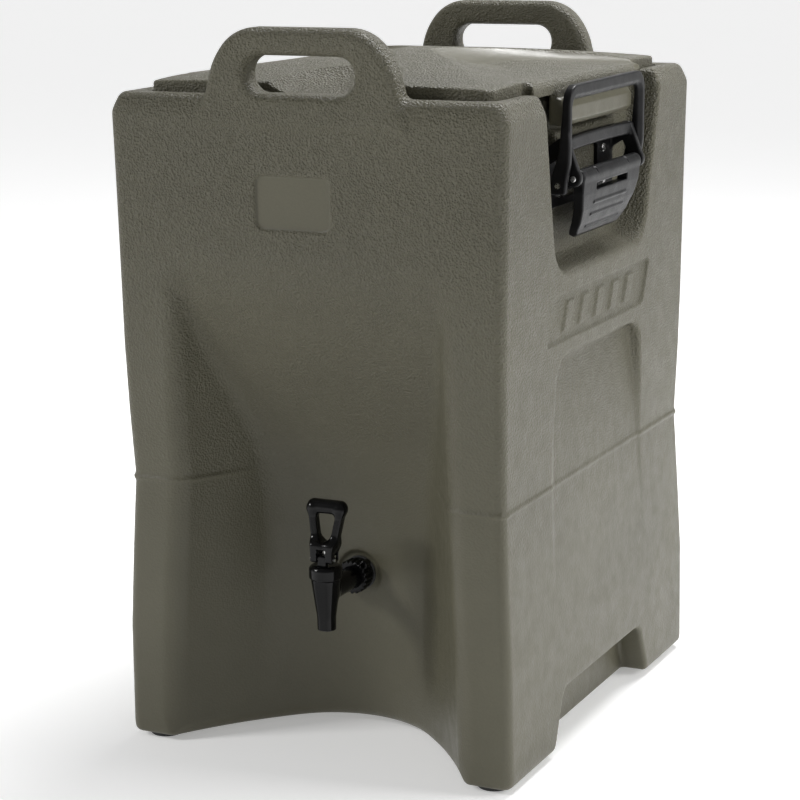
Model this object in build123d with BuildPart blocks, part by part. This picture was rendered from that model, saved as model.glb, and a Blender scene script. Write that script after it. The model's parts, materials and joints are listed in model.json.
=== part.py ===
from build123d import *
import os

# Insulated drinks carrier: a foam-filled double-wall tub on four corner legs, with a
# lift-off lid, one over-centre draw latch on each side and a self-closing faucet in front.
# Millimetres. +Z is up, +X is the carrier's right-hand side, -Y is the faucet side.
# Origin: the floor, under the middle of the carrier.

# ---------------------------------------------------------------- driving dimensions
FLOOR_GAP = 5.0            # the rubber feet hold the tub this far off the floor
RIM_Z = 660.0              # top of the corner posts and of the front and rear walls
DECK_Z = 651.0             # sunken deck under the lid
SEAM_Z = 275.0             # waist line with the moulded bead
SEAM_W, SEAM_D = 403.0, 493.0
SEAM_H = 5.0
SKIN = 5.0                 # wall of the outer moulding
CORNER_R = 16.0            # upright corners of the tub

# height, width and depth of the tub: it draws in to the waist and swells out again
BODY_LEVELS = (
    (FLOOR_GAP, 410, 496), (12, 418, 504), (120, 416, 504), (200, 408, 500), (SEAM_Z, 400, 490),
    (345, 405, 500), (410, 409, 506), (643, 420, 506), (652, 415, 501), (RIM_Z, 400, 486),
)

# front recess, top to bottom: height, crease x, crease y, y of the middle of the surface
RECESS_LEVELS = (
    (497, 142, -260, -260), (474, 137, -249, -247), (426, 128, -229, -224),
    (387, 118, -209, -202), (348, 107, -189, -180), (311, 97, -171, -161),
    (280, 92, -163, -152), (237, 88, -158, -147), (180, 87, -157, -145),
    (90, 87, -157, -136), (-5, 88, -158, -119),
)
RECESS_MOUTH_LOW = 161.0   # half width of the recess in the front face, at the floor
RECESS_MOUTH_HIGH = 137.0  # and at its top

GRIP_TOP = 728.0
GRIP_THICK = 30.0
GRIP_FACE_Y = 257.0        # outer face of each carrying grip
GRIP_HALF = 98.0
WINDOW_HALF = 58.0
WINDOW_BOTTOM, WINDOW_TOP = 664.0, 704.0

LATCH_FLOOR_X = 178.0      # floor of the side pocket that holds the latch
NOTCH_FLOOR_X = 182.0      # floor of the hand notch at the foot of the side
NOTCH_TOP_Z = 64.0
NOTCH_HALF_LOW, NOTCH_HALF_HIGH = 136.0, 109.0
SCOOP_TOP_Z, SCOOP_LOW_Z = 400.0, 296.0
PANEL_X = 202.4            # face of the slanted side panel
PLATE_W, PLATE_H = 80.0, 51.0
PLATE_X, PLATE_Z = -10.0, 559.0
PLATE_FACE_Y = 251.0

TANK_HALF_W = 145.0
TANK_HALF_D = 198.0
TANK_FLOOR_Z = 140.0
TANK_FRONT_Y = -82.0       # front wall of the tank below the slope
SLOPE_LOW_Z, SLOPE_HIGH_Z = 315.0, 530.0
LINER = 4.0
TANK_R = 12.0              # rounded edges inside the tank, clear of the faucet washer

LID_HALF_W = 181.0
LID_HALF_D = 221.0
LID_CORNER_R = 12.0
LID_GAP = 3.0              # between the lid's edge and the posts and walls
LID_TAB_X = 192.0          # the lid widens between the posts
LID_TAB_HALF = 145.0
LID_BASE_Z = 655.0
LID_EDGE_Z = 671.0
LID_CROWN_Z = 686.0
LID_WALL = 4.0
HOLLOW_R, HOLLOW_Y, HOLLOW_Z = 84.0, 254.0, 663.0   # hand hollow in front of each grip
LUG_NOSE_X = 203.0         # catch that the latch's bail pulls down
LUG_LOW_Z, LUG_HIGH_Z = 624.0, 650.0
LUG_HALF = 92.0
PAN_FLANGE = 3.0
PLUG_DEPTH_Z = 628.0       # underside of the plug that hangs in the tank's mouth
PLUG_GAP = 7.0
PLUG_R = 34.0
GASKET_GAP = 0.3
GASKET_W = 9.0

HINGE_X, HINGE_Z = 210.0, 574.0     # latch lever pin
LINK_X, LINK_Z = 199.5, 568.5       # bail pivots, carried by the lever
HINGE_PIN_R = 3.0
LINK_PIN_R = 2.5
RUNNING_GAP = 0.08                  # radial clearance of a pin in its bore
LEVER_HALF = 80.0
BARREL_R = 7.6
CHEEK = 8.0                         # thickness of the lever's end cheeks
ARM_IN, ARM_OUT = 84.0, 91.0        # bracket arms, each side of the lever
LEG_IN, LEG_OUT = 95.0, 105.0       # bail legs, outside the arms
BAIL_INNER_X, BAIL_OUTER_X = 203.8, 212.5
BAIL_LOW_Z, BAIL_TOP_Z = 651.0, 664.0
BRACKET_PLATE = 4.5
SCREW_R = 2.4
SCREW_GRIP = 13.0                   # depth of the bracket screws behind the pocket floor
SCREW_HEAD_R, SCREW_HEAD_H = 4.6, 2.6

FOOT_R = 17.0
FOOT_HEAD_SINK = 2.5

SHANK_Z = 170.0            # faucet shank, a little above the tank floor
SHANK_R = 10.0
SHANK_BORE_R = 6.0
SPOTFACE_Y = -142.0        # flat seat for the faucet washer in the recess
SPOTFACE_R = 23.0
WASHER_R = 17.5
OUTER_WASHER = 3.0
INNER_WASHER = 2.5
SHANK_INNER_Y = TANK_FRONT_Y + 16
NUT_Y = SPOTFACE_Y - 7     # back of the coupling nut
NUT_R = 17.5
NUT_LENGTH = 14.0
NUT_FRONT_Y = NUT_Y - NUT_LENGTH
SPOUT_Y = -218.0
SPOUT_FOOT_Z = 132.0
SEAT_Z = 150.0             # valve seat
SEAT_R = 6.6
CHAMBER_R = 10.0
BONNET_R = 16.6
BONNET_Z, BONNET_TOP_Z = 185.0, 199.0
STEM_R = 3.0
STEM_TOP_Z = 213.0
CROSS_PIN_R, CROSS_PIN_HALF, CROSS_PIN_Z = 1.4, 11.0, 208.0
HANDLE_PIN_R = 1.5
HANDLE_PIN_Y = SPOUT_Y - 5.5
HANDLE_PIN_Z = 206.0
NECK_HALF = 13.4
TONGUE_HALF = 4.5
BAR_R, BAR_HALF, BAR_Z = 7.0, 20.5, 256.5
SPRING_TURNS = 6
SPRING_PITCH = 3.4
SPRING_R, SPRING_WIRE_R = 4.6, 0.7

BRACKET_SCREWS = ((-60, 556), (60, 556), (-60, 588), (60, 588))
FEET = {
    "front_left": (-184, -226), "front_right": (184, -226),
    "rear_left": (-184, 224), "rear_right": (184, 224),
}

os.makedirs("parts", exist_ok=True)


def save(piece, label):
    piece.part.label = label
    export_step(piece.part, f"parts/{label}.step")


def both_sides(form):
    """A right-hand form and its mirror image on the left."""
    return form, mirror(form, about=Plane.YZ)


# ---------------------------------------------------------------- forms of the tub
def tub_form(inset):
    """Closed outer form of the tub, moved inward by inset all round."""
    with BuildPart() as form:
        for height, width, depth in BODY_LEVELS:
            share = (height - FLOOR_GAP) / (RIM_Z - FLOOR_GAP)
            level = height + inset * (1 - 2 * share)
            with BuildSketch(Plane.XY.offset(level)):
                RectangleRounded(width - 2 * inset, depth - 2 * inset, CORNER_R - inset)
        loft(ruled=True)
    return form.part


def front_recess_form(grow):
    """The hollow under the faucet, grown by grow into the tub."""
    top, bottom = RECESS_LEVELS[0][0], RECESS_LEVELS[-1][0]
    front_y = -280.0
    crease_low_x, crease_low_y, face_y = 88, -157, -250
    with BuildPart() as form:
        for height, crease_x, crease_y, middle_y in RECESS_LEVELS:
            share = (height - bottom) / (top - bottom)
            mouth = RECESS_MOUTH_LOW + (RECESS_MOUTH_HIGH - RECESS_MOUTH_LOW) * share
            slope = (mouth - crease_low_x) / (crease_low_y - face_y)
            edge_x = crease_x + 0.5 * grow
            edge_y = crease_y + grow
            outer_x = edge_x + 0.7 * grow + slope * (edge_y - front_y)
            with BuildSketch(Plane.XY.offset(height + grow * share)):
                with BuildLine():
                    Line((-outer_x, front_y), (outer_x, front_y))
                    Line((outer_x, front_y), (edge_x, edge_y))
                    ThreePointArc((edge_x, edge_y), (0, middle_y + grow + 0.5), (-edge_x, edge_y))
                    Line((-edge_x, edge_y), (-outer_x, front_y))
                make_face()
        loft()
    return form.part


def latch_pocket_form(grow):
    """The drafted pocket in the right-hand side, open at the top."""
    above = 700.0
    shoulder_z = 640.0
    floor = (LATCH_FLOOR_X - grow, 151 + grow, 114 + grow, 497 - grow)
    mouth = (228, 157 + grow, 129 + grow, 474 - grow)
    with BuildPart() as form:
        for depth_x, half_high, half_low, low_z in (floor, mouth):
            with BuildSketch(Plane.YZ.offset(depth_x)) as section:
                Polygon((-half_low, low_z), (half_low, low_z), (half_high, shoulder_z), (half_high, above),
                        (-half_high, above), (-half_high, shoulder_z), align=None)
                fillet(section.vertices().group_by(Axis.Y)[0], 26)
        loft()
    return form.part


def foot_notch_form(grow):
    """The trapezoid hand hold cut into the foot of the right-hand side."""
    below = -6.0
    with BuildPart() as form:
        with BuildSketch(Plane.YZ.offset(NOTCH_FLOOR_X - grow)) as section:
            Polygon((-NOTCH_HALF_LOW - grow, below), (NOTCH_HALF_LOW + grow, below),
                    (NOTCH_HALF_HIGH + grow, NOTCH_TOP_Z + grow),
                    (-NOTCH_HALF_HIGH - grow, NOTCH_TOP_Z + grow), align=None)
            fillet(section.vertices().group_by(Axis.Y)[-1], 8)
        extrude(amount=60)
    return form.part


def side_scoop_form(grow):
    """Shallow pocket under the side panel: deep at its top and fading out downward."""
    with BuildPart() as form:
        with BuildSketch(Plane.YZ.offset(180)) as section:
            Polygon((-122 - grow, SCOOP_LOW_Z - grow), (122 + grow, SCOOP_LOW_Z - grow),
                    (114 + grow, SCOOP_TOP_Z + grow), (-114 - grow, SCOOP_TOP_Z + grow), align=None)
            fillet(section.vertices().group_by(Axis.Y)[-1], 26)
        extrude(amount=46)
        slope = Plane(origin=(192 - grow, 0, SCOOP_TOP_Z), x_dir=(0, 1, 0), z_dir=(100, 0, 10))
        split(bisect_by=slope, keep=Keep.TOP)
    return form.part


def side_panel_form():
    """Slanted shallow panel above the scoop, left standing with six blank ribs."""
    with BuildPart() as form:
        with BuildSketch(Plane.YZ.offset(PANEL_X)) as section:
            Polygon((-147, 418), (121, 418), (139, 464), (-129, 464), align=None)
            fillet(section.vertices(), 6)
            for rib in range(6):
                middle = -105 + 42 * rib
                Polygon((middle - 9, 426), (middle + 9, 426), (middle + 20, 456), (middle + 2, 456),
                        align=None, mode=Mode.SUBTRACT)
        extrude(amount=20)
    return form.part


def grip_form():
    """Front carrying grip: an arch that runs down into the front wall."""
    shoulder_z = GRIP_TOP - 34
    with BuildPart() as form:
        with BuildSketch(Plane.XZ.offset(GRIP_FACE_Y)):
            with BuildLine():
                arch = FilletPolyline(
                    (-113, 634), (-106, 664), (-GRIP_HALF, shoulder_z), (-64, GRIP_TOP),
                    (64, GRIP_TOP), (GRIP_HALF, shoulder_z), (106, 664), (113, 634), radius=28,
                )
                Line(arch @ 1, arch @ 0)
            make_face()
        extrude(amount=-GRIP_THICK)
        with BuildSketch(Plane.XZ.offset(GRIP_FACE_Y)):
            with Locations((0, (WINDOW_TOP + WINDOW_BOTTOM) / 2)):
                RectangleRounded(2 * WINDOW_HALF, WINDOW_TOP - WINDOW_BOTTOM, 19)
        extrude(amount=-GRIP_THICK, mode=Mode.SUBTRACT)
        ends = form.faces().filter_by(Axis.Y)
        fillet(ends.edges().filter_by(lambda edge: edge.center().Z > 640), 7)
    return form.part


def tank_form(wall):
    """The tank, sloped in front to follow the recess, with wall added all round."""
    above = 700.0
    with BuildPart() as form:
        with BuildSketch(Plane.YZ) as section:
            Polygon((TANK_HALF_D, TANK_FLOOR_Z), (TANK_HALF_D, above), (-TANK_HALF_D, above),
                    (-TANK_HALF_D, SLOPE_HIGH_Z), (TANK_FRONT_Y, SLOPE_LOW_Z),
                    (TANK_FRONT_Y, TANK_FLOOR_Z), align=None)
            offset(amount=wall, kind=Kind.INTERSECTION)
            fillet(section.vertices().filter_by(lambda corner: corner.Y < above - 10), TANK_R)
        extrude(amount=TANK_HALF_W + wall, both=True)
        rims = form.faces().filter_by(Axis.X).edges()
        fillet(rims.filter_by(lambda edge: edge.center().Z < above - 10), TANK_R - 2)
        split(bisect_by=Plane.XY.offset(DECK_Z), keep=Keep.BOTTOM)
    return form.part


def faucet_boss_form():
    """Thicker wall behind the faucet's seat."""
    with BuildPart() as form:
        with BuildSketch(Plane.XZ.offset(-SPOTFACE_Y)):
            with Locations((0, SHANK_Z)):
                Circle(SPOTFACE_R + 5)
        extrude(amount=-14)
    return form.part


def cavity_form():
    """The space between the outer moulding and the tank, which the foam fills."""
    with BuildPart() as form:
        add(tub_form(SKIN))
        split(bisect_by=Plane.XY.offset(DECK_Z - SKIN), keep=Keep.BOTTOM)
        add(front_recess_form(SKIN), mode=Mode.SUBTRACT)
        for grown in (latch_pocket_form(SKIN), foot_notch_form(SKIN), side_scoop_form(SKIN)):
            for hollow in both_sides(grown):
                add(hollow, mode=Mode.SUBTRACT)
        add(faucet_boss_form(), mode=Mode.SUBTRACT)
    return form.part


def shank_hole_form():
    """Round hole through the front wall and the tank for the faucet's shank."""
    with BuildPart() as form:
        with BuildSketch(Plane.XZ.offset(-SPOTFACE_Y + 30)):
            with Locations((0, SHANK_Z)):
                Circle(SHANK_R)
        extrude(amount=-120)
    return form.part


def bracket_screw_form(reach):
    """The shanks of the right-hand latch bracket's screws, with the given reach."""
    with BuildPart() as form:
        with BuildSketch(Plane.YZ.offset(LATCH_FLOOR_X - SCREW_GRIP)):
            with Locations(*BRACKET_SCREWS):
                Circle(SCREW_R)
        extrude(amount=reach)
    return form.part


def foot_screw_form(reach):
    """The shanks of the screws that hold the feet, with the given reach."""
    with BuildPart() as form:
        with BuildSketch(Plane.XY.offset(FOOT_HEAD_SINK)):
            with Locations(*FEET.values()):
                Circle(SCREW_R)
        extrude(amount=reach)
    return form.part


# ---------------------------------------------------------------- tub
with BuildPart() as outer_shell:
    add(tub_form(0))
    # moulded bead round the waist
    with BuildSketch(Plane.XY.offset(SEAM_Z - SEAM_H / 2)):
        RectangleRounded(SEAM_W, SEAM_D, CORNER_R)
    extrude(amount=SEAM_H)
    grip = grip_form()
    add(grip)
    add(mirror(grip, about=Plane.XZ))
    # sunken deck for the lid, between the walls and posts
    with BuildSketch(Plane.XY.offset(DECK_Z)):
        Rectangle(2 * (LID_HALF_W + LID_GAP), 2 * (LID_HALF_D + LID_GAP))
    extrude(amount=100, mode=Mode.SUBTRACT)
    add(front_recess_form(0), mode=Mode.SUBTRACT)
    hollows = (latch_pocket_form(0), foot_notch_form(0), side_scoop_form(0), side_panel_form())
    for hollow in hollows:
        for side_hollow in both_sides(hollow):
            add(side_hollow, mode=Mode.SUBTRACT)
    # blank name plate high on the front
    with BuildSketch(Plane.XZ.offset(PLATE_FACE_Y)):
        with Locations((PLATE_X, PLATE_Z)):
            RectangleRounded(PLATE_W, PLATE_H, 8)
    extrude(amount=8, mode=Mode.SUBTRACT)
    # rounded ledge on the floor of each latch pocket
    with BuildSketch(Plane.XZ):
        with Locations((LATCH_FLOOR_X + 1, 613), (-LATCH_FLOOR_X - 1, 613)):
            Circle(9)
    extrude(amount=78, both=True)
    add(cavity_form(), mode=Mode.SUBTRACT)
    add(tank_form(LINER), mode=Mode.SUBTRACT)
    # flat seat and hole for the faucet
    with BuildSketch(Plane.XZ.offset(-SPOTFACE_Y)):
        with Locations((0, SHANK_Z)):
            Circle(SPOTFACE_R)
    extrude(amount=30, mode=Mode.SUBTRACT)
    add(shank_hole_form(), mode=Mode.SUBTRACT)
    for screws in both_sides(bracket_screw_form(20)):
        add(screws, mode=Mode.SUBTRACT)
    add(foot_screw_form(18), mode=Mode.SUBTRACT)
save(outer_shell, "outer_shell")

with BuildPart() as foam_core:
    add(cavity_form())
    add(tank_form(LINER), mode=Mode.SUBTRACT)
    add(shank_hole_form(), mode=Mode.SUBTRACT)
    for screws in both_sides(bracket_screw_form(20)):
        add(screws, mode=Mode.SUBTRACT)
    add(foot_screw_form(18), mode=Mode.SUBTRACT)
save(foam_core, "foam_core")

with BuildPart() as tank_liner:
    add(tank_form(LINER))
    add(tank_form(0), mode=Mode.SUBTRACT)
    add(shank_hole_form(), mode=Mode.SUBTRACT)
save(tank_liner, "tank_liner")

for corner, place in FEET.items():
    with BuildPart() as rubber_foot:
        with BuildSketch(Plane.XY):
            with Locations(place):
                Circle(FOOT_R)
        extrude(amount=FLOOR_GAP)
        chamfer(rubber_foot.edges().group_by(Axis.Z)[0], 1)
        # sunk hole for the screw's head, and its shank hole
        for hole_r, hole_h in ((SCREW_HEAD_R + 1.4, FOOT_HEAD_SINK), (SCREW_R, FLOOR_GAP)):
            with BuildSketch(Plane.XY):
                with Locations(place):
                    Circle(hole_r)
            extrude(amount=hole_h, mode=Mode.SUBTRACT)
    save(rubber_foot, f"foot_{corner}")

with BuildPart() as foot_screws:
    add(foot_screw_form(16))
    with BuildSketch(Plane.XY.offset(FOOT_HEAD_SINK)):
        with Locations(*FEET.values()):
            Circle(SCREW_HEAD_R)
    extrude(amount=-1.7)
save(foot_screws, "foot_screws")


# ---------------------------------------------------------------- lid
def lid_form(inset, base_z):
    """The lid's domed upper form, moved inward by inset, standing on base_z."""
    edge_z = LID_EDGE_Z - inset
    crown_z = LID_CROWN_Z - inset
    crown_half_w, crown_half_d = 70, 100
    with BuildPart() as form:
        with BuildSketch(Plane.XY.offset(base_z)):
            RectangleRounded(2 * (LID_HALF_W - inset), 2 * (LID_HALF_D - inset), LID_CORNER_R - inset)
        extrude(amount=edge_z - base_z)
        for level, half_w, half_d in ((edge_z, LID_HALF_W - 3, LID_HALF_D - 3),
                                      (crown_z, crown_half_w, crown_half_d)):
            with BuildSketch(Plane.XY.offset(level)):
                RectangleRounded(2 * (half_w - inset), 2 * (half_d - inset), 9)
        loft(ruled=True)
        # round hand hollows beside the grips
        with BuildSketch(Plane.XY.offset(HOLLOW_Z - inset)):
            with Locations((0, -HOLLOW_Y), (0, HOLLOW_Y)):
                Circle(HOLLOW_R + inset)
        extrude(amount=60, mode=Mode.SUBTRACT)
    return form.part


def lug_form():
    """The catch that hangs from the lid's right-hand edge."""
    with BuildPart() as form:
        with BuildSketch(Plane.XZ):
            with BuildLine():
                hook = FilletPolyline((184, LID_BASE_Z + 1), (184, LUG_LOW_Z), (LUG_NOSE_X, LUG_LOW_Z),
                                      (LUG_NOSE_X, LUG_HIGH_Z), (191, LUG_HIGH_Z), (191, LID_BASE_Z + 1),
                                      radius=(3, 6, 6, 1.5))
                Line(hook @ 1, hook @ 0)
            make_face()
        extrude(amount=LUG_HALF, both=True)
    return form.part


def plug_form(wall, floor_z, top_z):
    """The lid's plug, which hangs in the tank's mouth."""
    with BuildPart() as form:
        with BuildSketch(Plane.XY.offset(floor_z)):
            RectangleRounded(2 * (TANK_HALF_W - PLUG_GAP - wall), 2 * (TANK_HALF_D - PLUG_GAP - wall),
                             PLUG_R - wall)
        extrude(amount=top_z - floor_z)
    return form.part


with BuildPart() as lid_shell:
    add(lid_form(0, LID_BASE_Z))
    with BuildSketch(Plane.XY.offset(LID_BASE_Z)):
        RectangleRounded(2 * LID_TAB_X, 2 * LID_TAB_HALF, 6)
    extrude(amount=LID_EDGE_Z - LID_BASE_Z)
    for lug in both_sides(lug_form()):
        add(lug)
    add(lid_form(LID_WALL, LID_BASE_Z), mode=Mode.SUBTRACT)
save(lid_shell, "lid_shell")

with BuildPart() as lid_pan:
    with BuildSketch(Plane.XY.offset(LID_BASE_Z)):
        RectangleRounded(2 * (LID_HALF_W - LID_WALL), 2 * (LID_HALF_D - LID_WALL),
                         LID_CORNER_R - LID_WALL)
    extrude(amount=PAN_FLANGE)
    add(plug_form(0, PLUG_DEPTH_Z, LID_BASE_Z))
    inner_plug = plug_form(PAN_FLANGE, PLUG_DEPTH_Z + PAN_FLANGE, LID_BASE_Z + PAN_FLANGE)
    add(inner_plug, mode=Mode.SUBTRACT)
save(lid_pan, "lid_pan")

with BuildPart() as lid_foam:
    add(lid_form(LID_WALL, LID_BASE_Z + PAN_FLANGE))
    add(inner_plug)
save(lid_foam, "lid_foam")

with BuildPart() as lid_gasket:
    with BuildSketch(Plane.XY.offset(DECK_Z + GASKET_GAP)):
        RectangleRounded(2 * 161, 2 * 213, 46)
        RectangleRounded(2 * (161 - GASKET_W), 2 * (213 - GASKET_W), 46 - GASKET_W, mode=Mode.SUBTRACT)
    extrude(amount=LID_BASE_Z - DECK_Z - GASKET_GAP)
save(lid_gasket, "lid_gasket")


# ---------------------------------------------------------------- draw latches
def bar_form(plane, centre, radius, start, end):
    """Round bar square to a plane, between two distances along the plane's normal."""
    with BuildPart() as form:
        with BuildSketch(plane.offset(start)):
            with Locations(centre):
                Circle(radius)
        extrude(amount=end - start)
    return form.part


def lengthwise(radius, at_x, at_z, half):
    """Round bar along Y, equal both ways."""
    return bar_form(Plane.XZ, (at_x, at_z), radius, -half, half)


with BuildPart() as bracket:
    with BuildSketch(Plane.YZ.offset(LATCH_FLOOR_X)):
        with Locations((0, 572)):
            RectangleRounded(2 * ARM_OUT, 60, 6)
    extrude(amount=BRACKET_PLATE)
    # arms reach out over the ledge to the cross bar and down to the hinge eyes
    for near_y in (-ARM_OUT, ARM_IN):
        with BuildSketch(Plane.XZ.offset(-near_y)):
            Polygon((LATCH_FLOOR_X, 584), (LATCH_FLOOR_X, 601), (194, 612), (204, 612), (217.4, 577),
                    (202.6, 577), (194, 596), align=None)
            with Locations((HINGE_X, HINGE_Z)):
                Circle(8)
        extrude(amount=-(ARM_OUT - ARM_IN))
    with BuildSketch(Plane.XZ):
        with Locations((199.5, 606)):
            RectangleRounded(9, 12, 4)
    extrude(amount=ARM_OUT, both=True)
    add(lengthwise(HINGE_PIN_R, HINGE_X, HINGE_Z, ARM_OUT), mode=Mode.SUBTRACT)
    add(bracket_screw_form(40), mode=Mode.SUBTRACT)

with BuildPart() as bracket_screws:
    add(bracket_screw_form(SCREW_GRIP + BRACKET_PLATE))
    with BuildSketch(Plane.YZ.offset(LATCH_FLOOR_X + BRACKET_PLATE)):
        with Locations(*BRACKET_SCREWS):
            Circle(SCREW_HEAD_R)
    extrude(amount=SCREW_HEAD_H)
    chamfer(bracket_screws.edges().group_by(Axis.X)[-1], 0.8)
    # crossed slots
    with BuildSketch(Plane.YZ.offset(LATCH_FLOOR_X + BRACKET_PLATE + SCREW_HEAD_H)):
        with Locations(*BRACKET_SCREWS):
            Rectangle(5, 1.1)
            Rectangle(1.1, 5)
    extrude(amount=-1.3, mode=Mode.SUBTRACT)

with BuildPart() as hinge_pin:
    with BuildSketch(Plane.XZ):
        with Locations((HINGE_X, HINGE_Z)):
            Circle(HINGE_PIN_R)
    extrude(amount=ARM_OUT + 1, both=True)
    chamfer(hinge_pin.edges().filter_by(GeomType.CIRCLE), 0.6)

with BuildPart() as lever:
    # flap, thinner towards its tip, hanging inward from the barrel
    with BuildSketch(Plane.XZ):
        Polygon((217.4, 573), (213, 541), (200.5, 515), (194.5, 511.5), (191, 515), (205, 543),
                (206, 573), align=None)
        with Locations((HINGE_X, HINGE_Z)):
            Circle(BARREL_R)
    extrude(amount=LEVER_HALF, both=True)
    # outline of the flap seen from the side of the carrier
    with BuildSketch(Plane.YZ.offset(150)):
        with BuildLine():
            outline = FilletPolyline((-LEVER_HALF, 600), (-LEVER_HALF, 556), (-67, 530), (-67, 506),
                                     (67, 506), (67, 530), (LEVER_HALF, 556), (LEVER_HALF, 600),
                                     radius=(12, 12, 14, 14, 12, 12))
            Line(outline @ 1, outline @ 0)
        make_face()
    extrude(amount=100, mode=Mode.INTERSECT)
    # cheeks that carry the bail's pivots behind the barrel
    for face_y in (-LEVER_HALF, LEVER_HALF - CHEEK):
        with BuildSketch(Plane.XZ.offset(-face_y)):
            Polygon((HINGE_X - 3, HINGE_Z + 6.9), (LINK_X - 2.8, LINK_Z + 5.2),
                    (LINK_X + 3, LINK_Z - 5.2), (HINGE_X, HINGE_Z - BARREL_R), align=None)
            with Locations((LINK_X, LINK_Z)):
                Circle(6)
            with Locations((HINGE_X, HINGE_Z)):
                Circle(BARREL_R)
        extrude(amount=-CHEEK)
    # window under the barrel and three grip ridges
    with BuildSketch(Plane.YZ.offset(190)):
        with Locations((0, 560)):
            RectangleRounded(86, 8, 2)
    extrude(amount=40, mode=Mode.SUBTRACT)
    with BuildSketch(Plane.XZ):
        with Locations((213.0, 549), (210.9, 536), (203.4, 522)):
            Circle(1.6)
    extrude(amount=46, both=True)
    add(lengthwise(HINGE_PIN_R + RUNNING_GAP, HINGE_X, HINGE_Z, LEVER_HALF + 1), mode=Mode.SUBTRACT)
    add(lengthwise(LINK_PIN_R, LINK_X, LINK_Z, LEVER_HALF + 1), mode=Mode.SUBTRACT)

with BuildPart() as bail:
    for near_y in (-LEG_OUT, LEG_IN):
        with BuildSketch(Plane.XZ.offset(-near_y)):
            Polygon((191.5, 566), (BAIL_INNER_X, 640), (BAIL_INNER_X, BAIL_TOP_Z),
                    (BAIL_OUTER_X, BAIL_TOP_Z), (BAIL_OUTER_X, 640), (207.5, 566), align=None)
            with Locations((LINK_X, LINK_Z)):
                Circle(8.4)
        extrude(amount=-(LEG_OUT - LEG_IN))
    with BuildSketch(Plane.XZ):
        Polygon((BAIL_INNER_X, BAIL_LOW_Z), (BAIL_INNER_X, BAIL_TOP_Z), (BAIL_OUTER_X, BAIL_TOP_Z),
                (BAIL_OUTER_X, BAIL_LOW_Z), align=None)
    extrude(amount=LEG_OUT, both=True)
    fillet(bail.edges().filter_by(Axis.X).group_by(Axis.Z)[-1], 13)
    add(lengthwise(LINK_PIN_R + RUNNING_GAP, LINK_X, LINK_Z, LEG_OUT + 1), mode=Mode.SUBTRACT)

with BuildPart() as bail_pins:
    for near_y in (-LEG_OUT - 0.8, LEVER_HALF - CHEEK):
        with BuildSketch(Plane.XZ.offset(-near_y)):
            with Locations((LINK_X, LINK_Z)):
                Circle(LINK_PIN_R)
        extrude(amount=-(LEG_OUT + 0.8 - LEVER_HALF + CHEEK))

LATCH_PIECES = {
    "latch_bracket": bracket, "latch_screws": bracket_screws, "latch_hinge_pin": hinge_pin,
    "latch_lever": lever, "latch_bail": bail, "latch_bail_pins": bail_pins,
}
for label, piece in LATCH_PIECES.items():
    for side, form in zip(("right", "left"), both_sides(piece.part)):
        with BuildPart() as sided:
            add(form)
        save(sided, f"{side}_{label}")


# ---------------------------------------------------------------- faucet
def turned(radius, near_y, far_y):
    """Round bar on the shank's axis, between two distances from the middle of the carrier."""
    return bar_form(Plane.XZ, (0, SHANK_Z), radius, -near_y, -far_y)


def upright(radius, low_z, high_z):
    """Round bar on the spout's upright axis."""
    return bar_form(Plane.XY, (0, SPOUT_Y), radius, low_z, high_z)


def crosswise(radius, at_y, at_z, half):
    """Round bar along X, equal both ways."""
    return bar_form(Plane.YZ, (at_y, at_z), radius, -half, half)


with BuildPart() as outer_washer:
    add(turned(WASHER_R, SPOTFACE_Y, SPOTFACE_Y - OUTER_WASHER))
    add(turned(SHANK_R, SPOTFACE_Y, SPOTFACE_Y - OUTER_WASHER), mode=Mode.SUBTRACT)
save(outer_washer, "faucet_outer_washer")

with BuildPart() as shank:
    add(turned(SHANK_R, SHANK_INNER_Y, SPOTFACE_Y - OUTER_WASHER))
    add(turned(WASHER_R - 1, SPOTFACE_Y - OUTER_WASHER, NUT_Y))
    add(turned(SHANK_R + 2.5, NUT_Y, NUT_Y - 6))
    add(turned(SHANK_BORE_R, SHANK_INNER_Y, NUT_Y - 6), mode=Mode.SUBTRACT)
save(shank, "faucet_shank")

with BuildPart() as inner_washer:
    add(turned(WASHER_R - 1, TANK_FRONT_Y + INNER_WASHER, TANK_FRONT_Y))
    add(turned(SHANK_R, TANK_FRONT_Y + INNER_WASHER, TANK_FRONT_Y), mode=Mode.SUBTRACT)
save(inner_washer, "faucet_inner_washer")

with BuildPart() as lock_nut:
    with BuildSketch(Plane.XZ.offset(-TANK_FRONT_Y - INNER_WASHER)):
        with Locations((0, SHANK_Z)):
            RegularPolygon(16.5, 6)
            Circle(SHANK_R, mode=Mode.SUBTRACT)
    extrude(amount=-8)
save(lock_nut, "faucet_lock_nut")

with BuildPart() as coupling_nut:
    add(turned(NUT_R, NUT_Y, NUT_FRONT_Y))
    chamfer(coupling_nut.edges().filter_by(GeomType.CIRCLE), 1.2)
    with BuildSketch(Plane.XZ.offset(-NUT_Y)):
        with Locations((0, SHANK_Z)):
            with PolarLocations(NUT_R, 18):
                Circle(1.1)
    extrude(amount=NUT_LENGTH, mode=Mode.SUBTRACT)
    # two wings for the fingers
    with BuildSketch(Plane.XZ.offset(-NUT_Y + 2)):
        with Locations((0, SHANK_Z)):
            with PolarLocations(NUT_R + 2, 2, start_angle=35):
                Rectangle(9, 6)
    extrude(amount=NUT_LENGTH - 4)
    add(turned(SHANK_R + 2.5, NUT_Y, NUT_Y - 10), mode=Mode.SUBTRACT)
    add(turned(SHANK_R + 1, NUT_Y - 10, NUT_FRONT_Y), mode=Mode.SUBTRACT)
save(coupling_nut, "faucet_coupling_nut")

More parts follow.
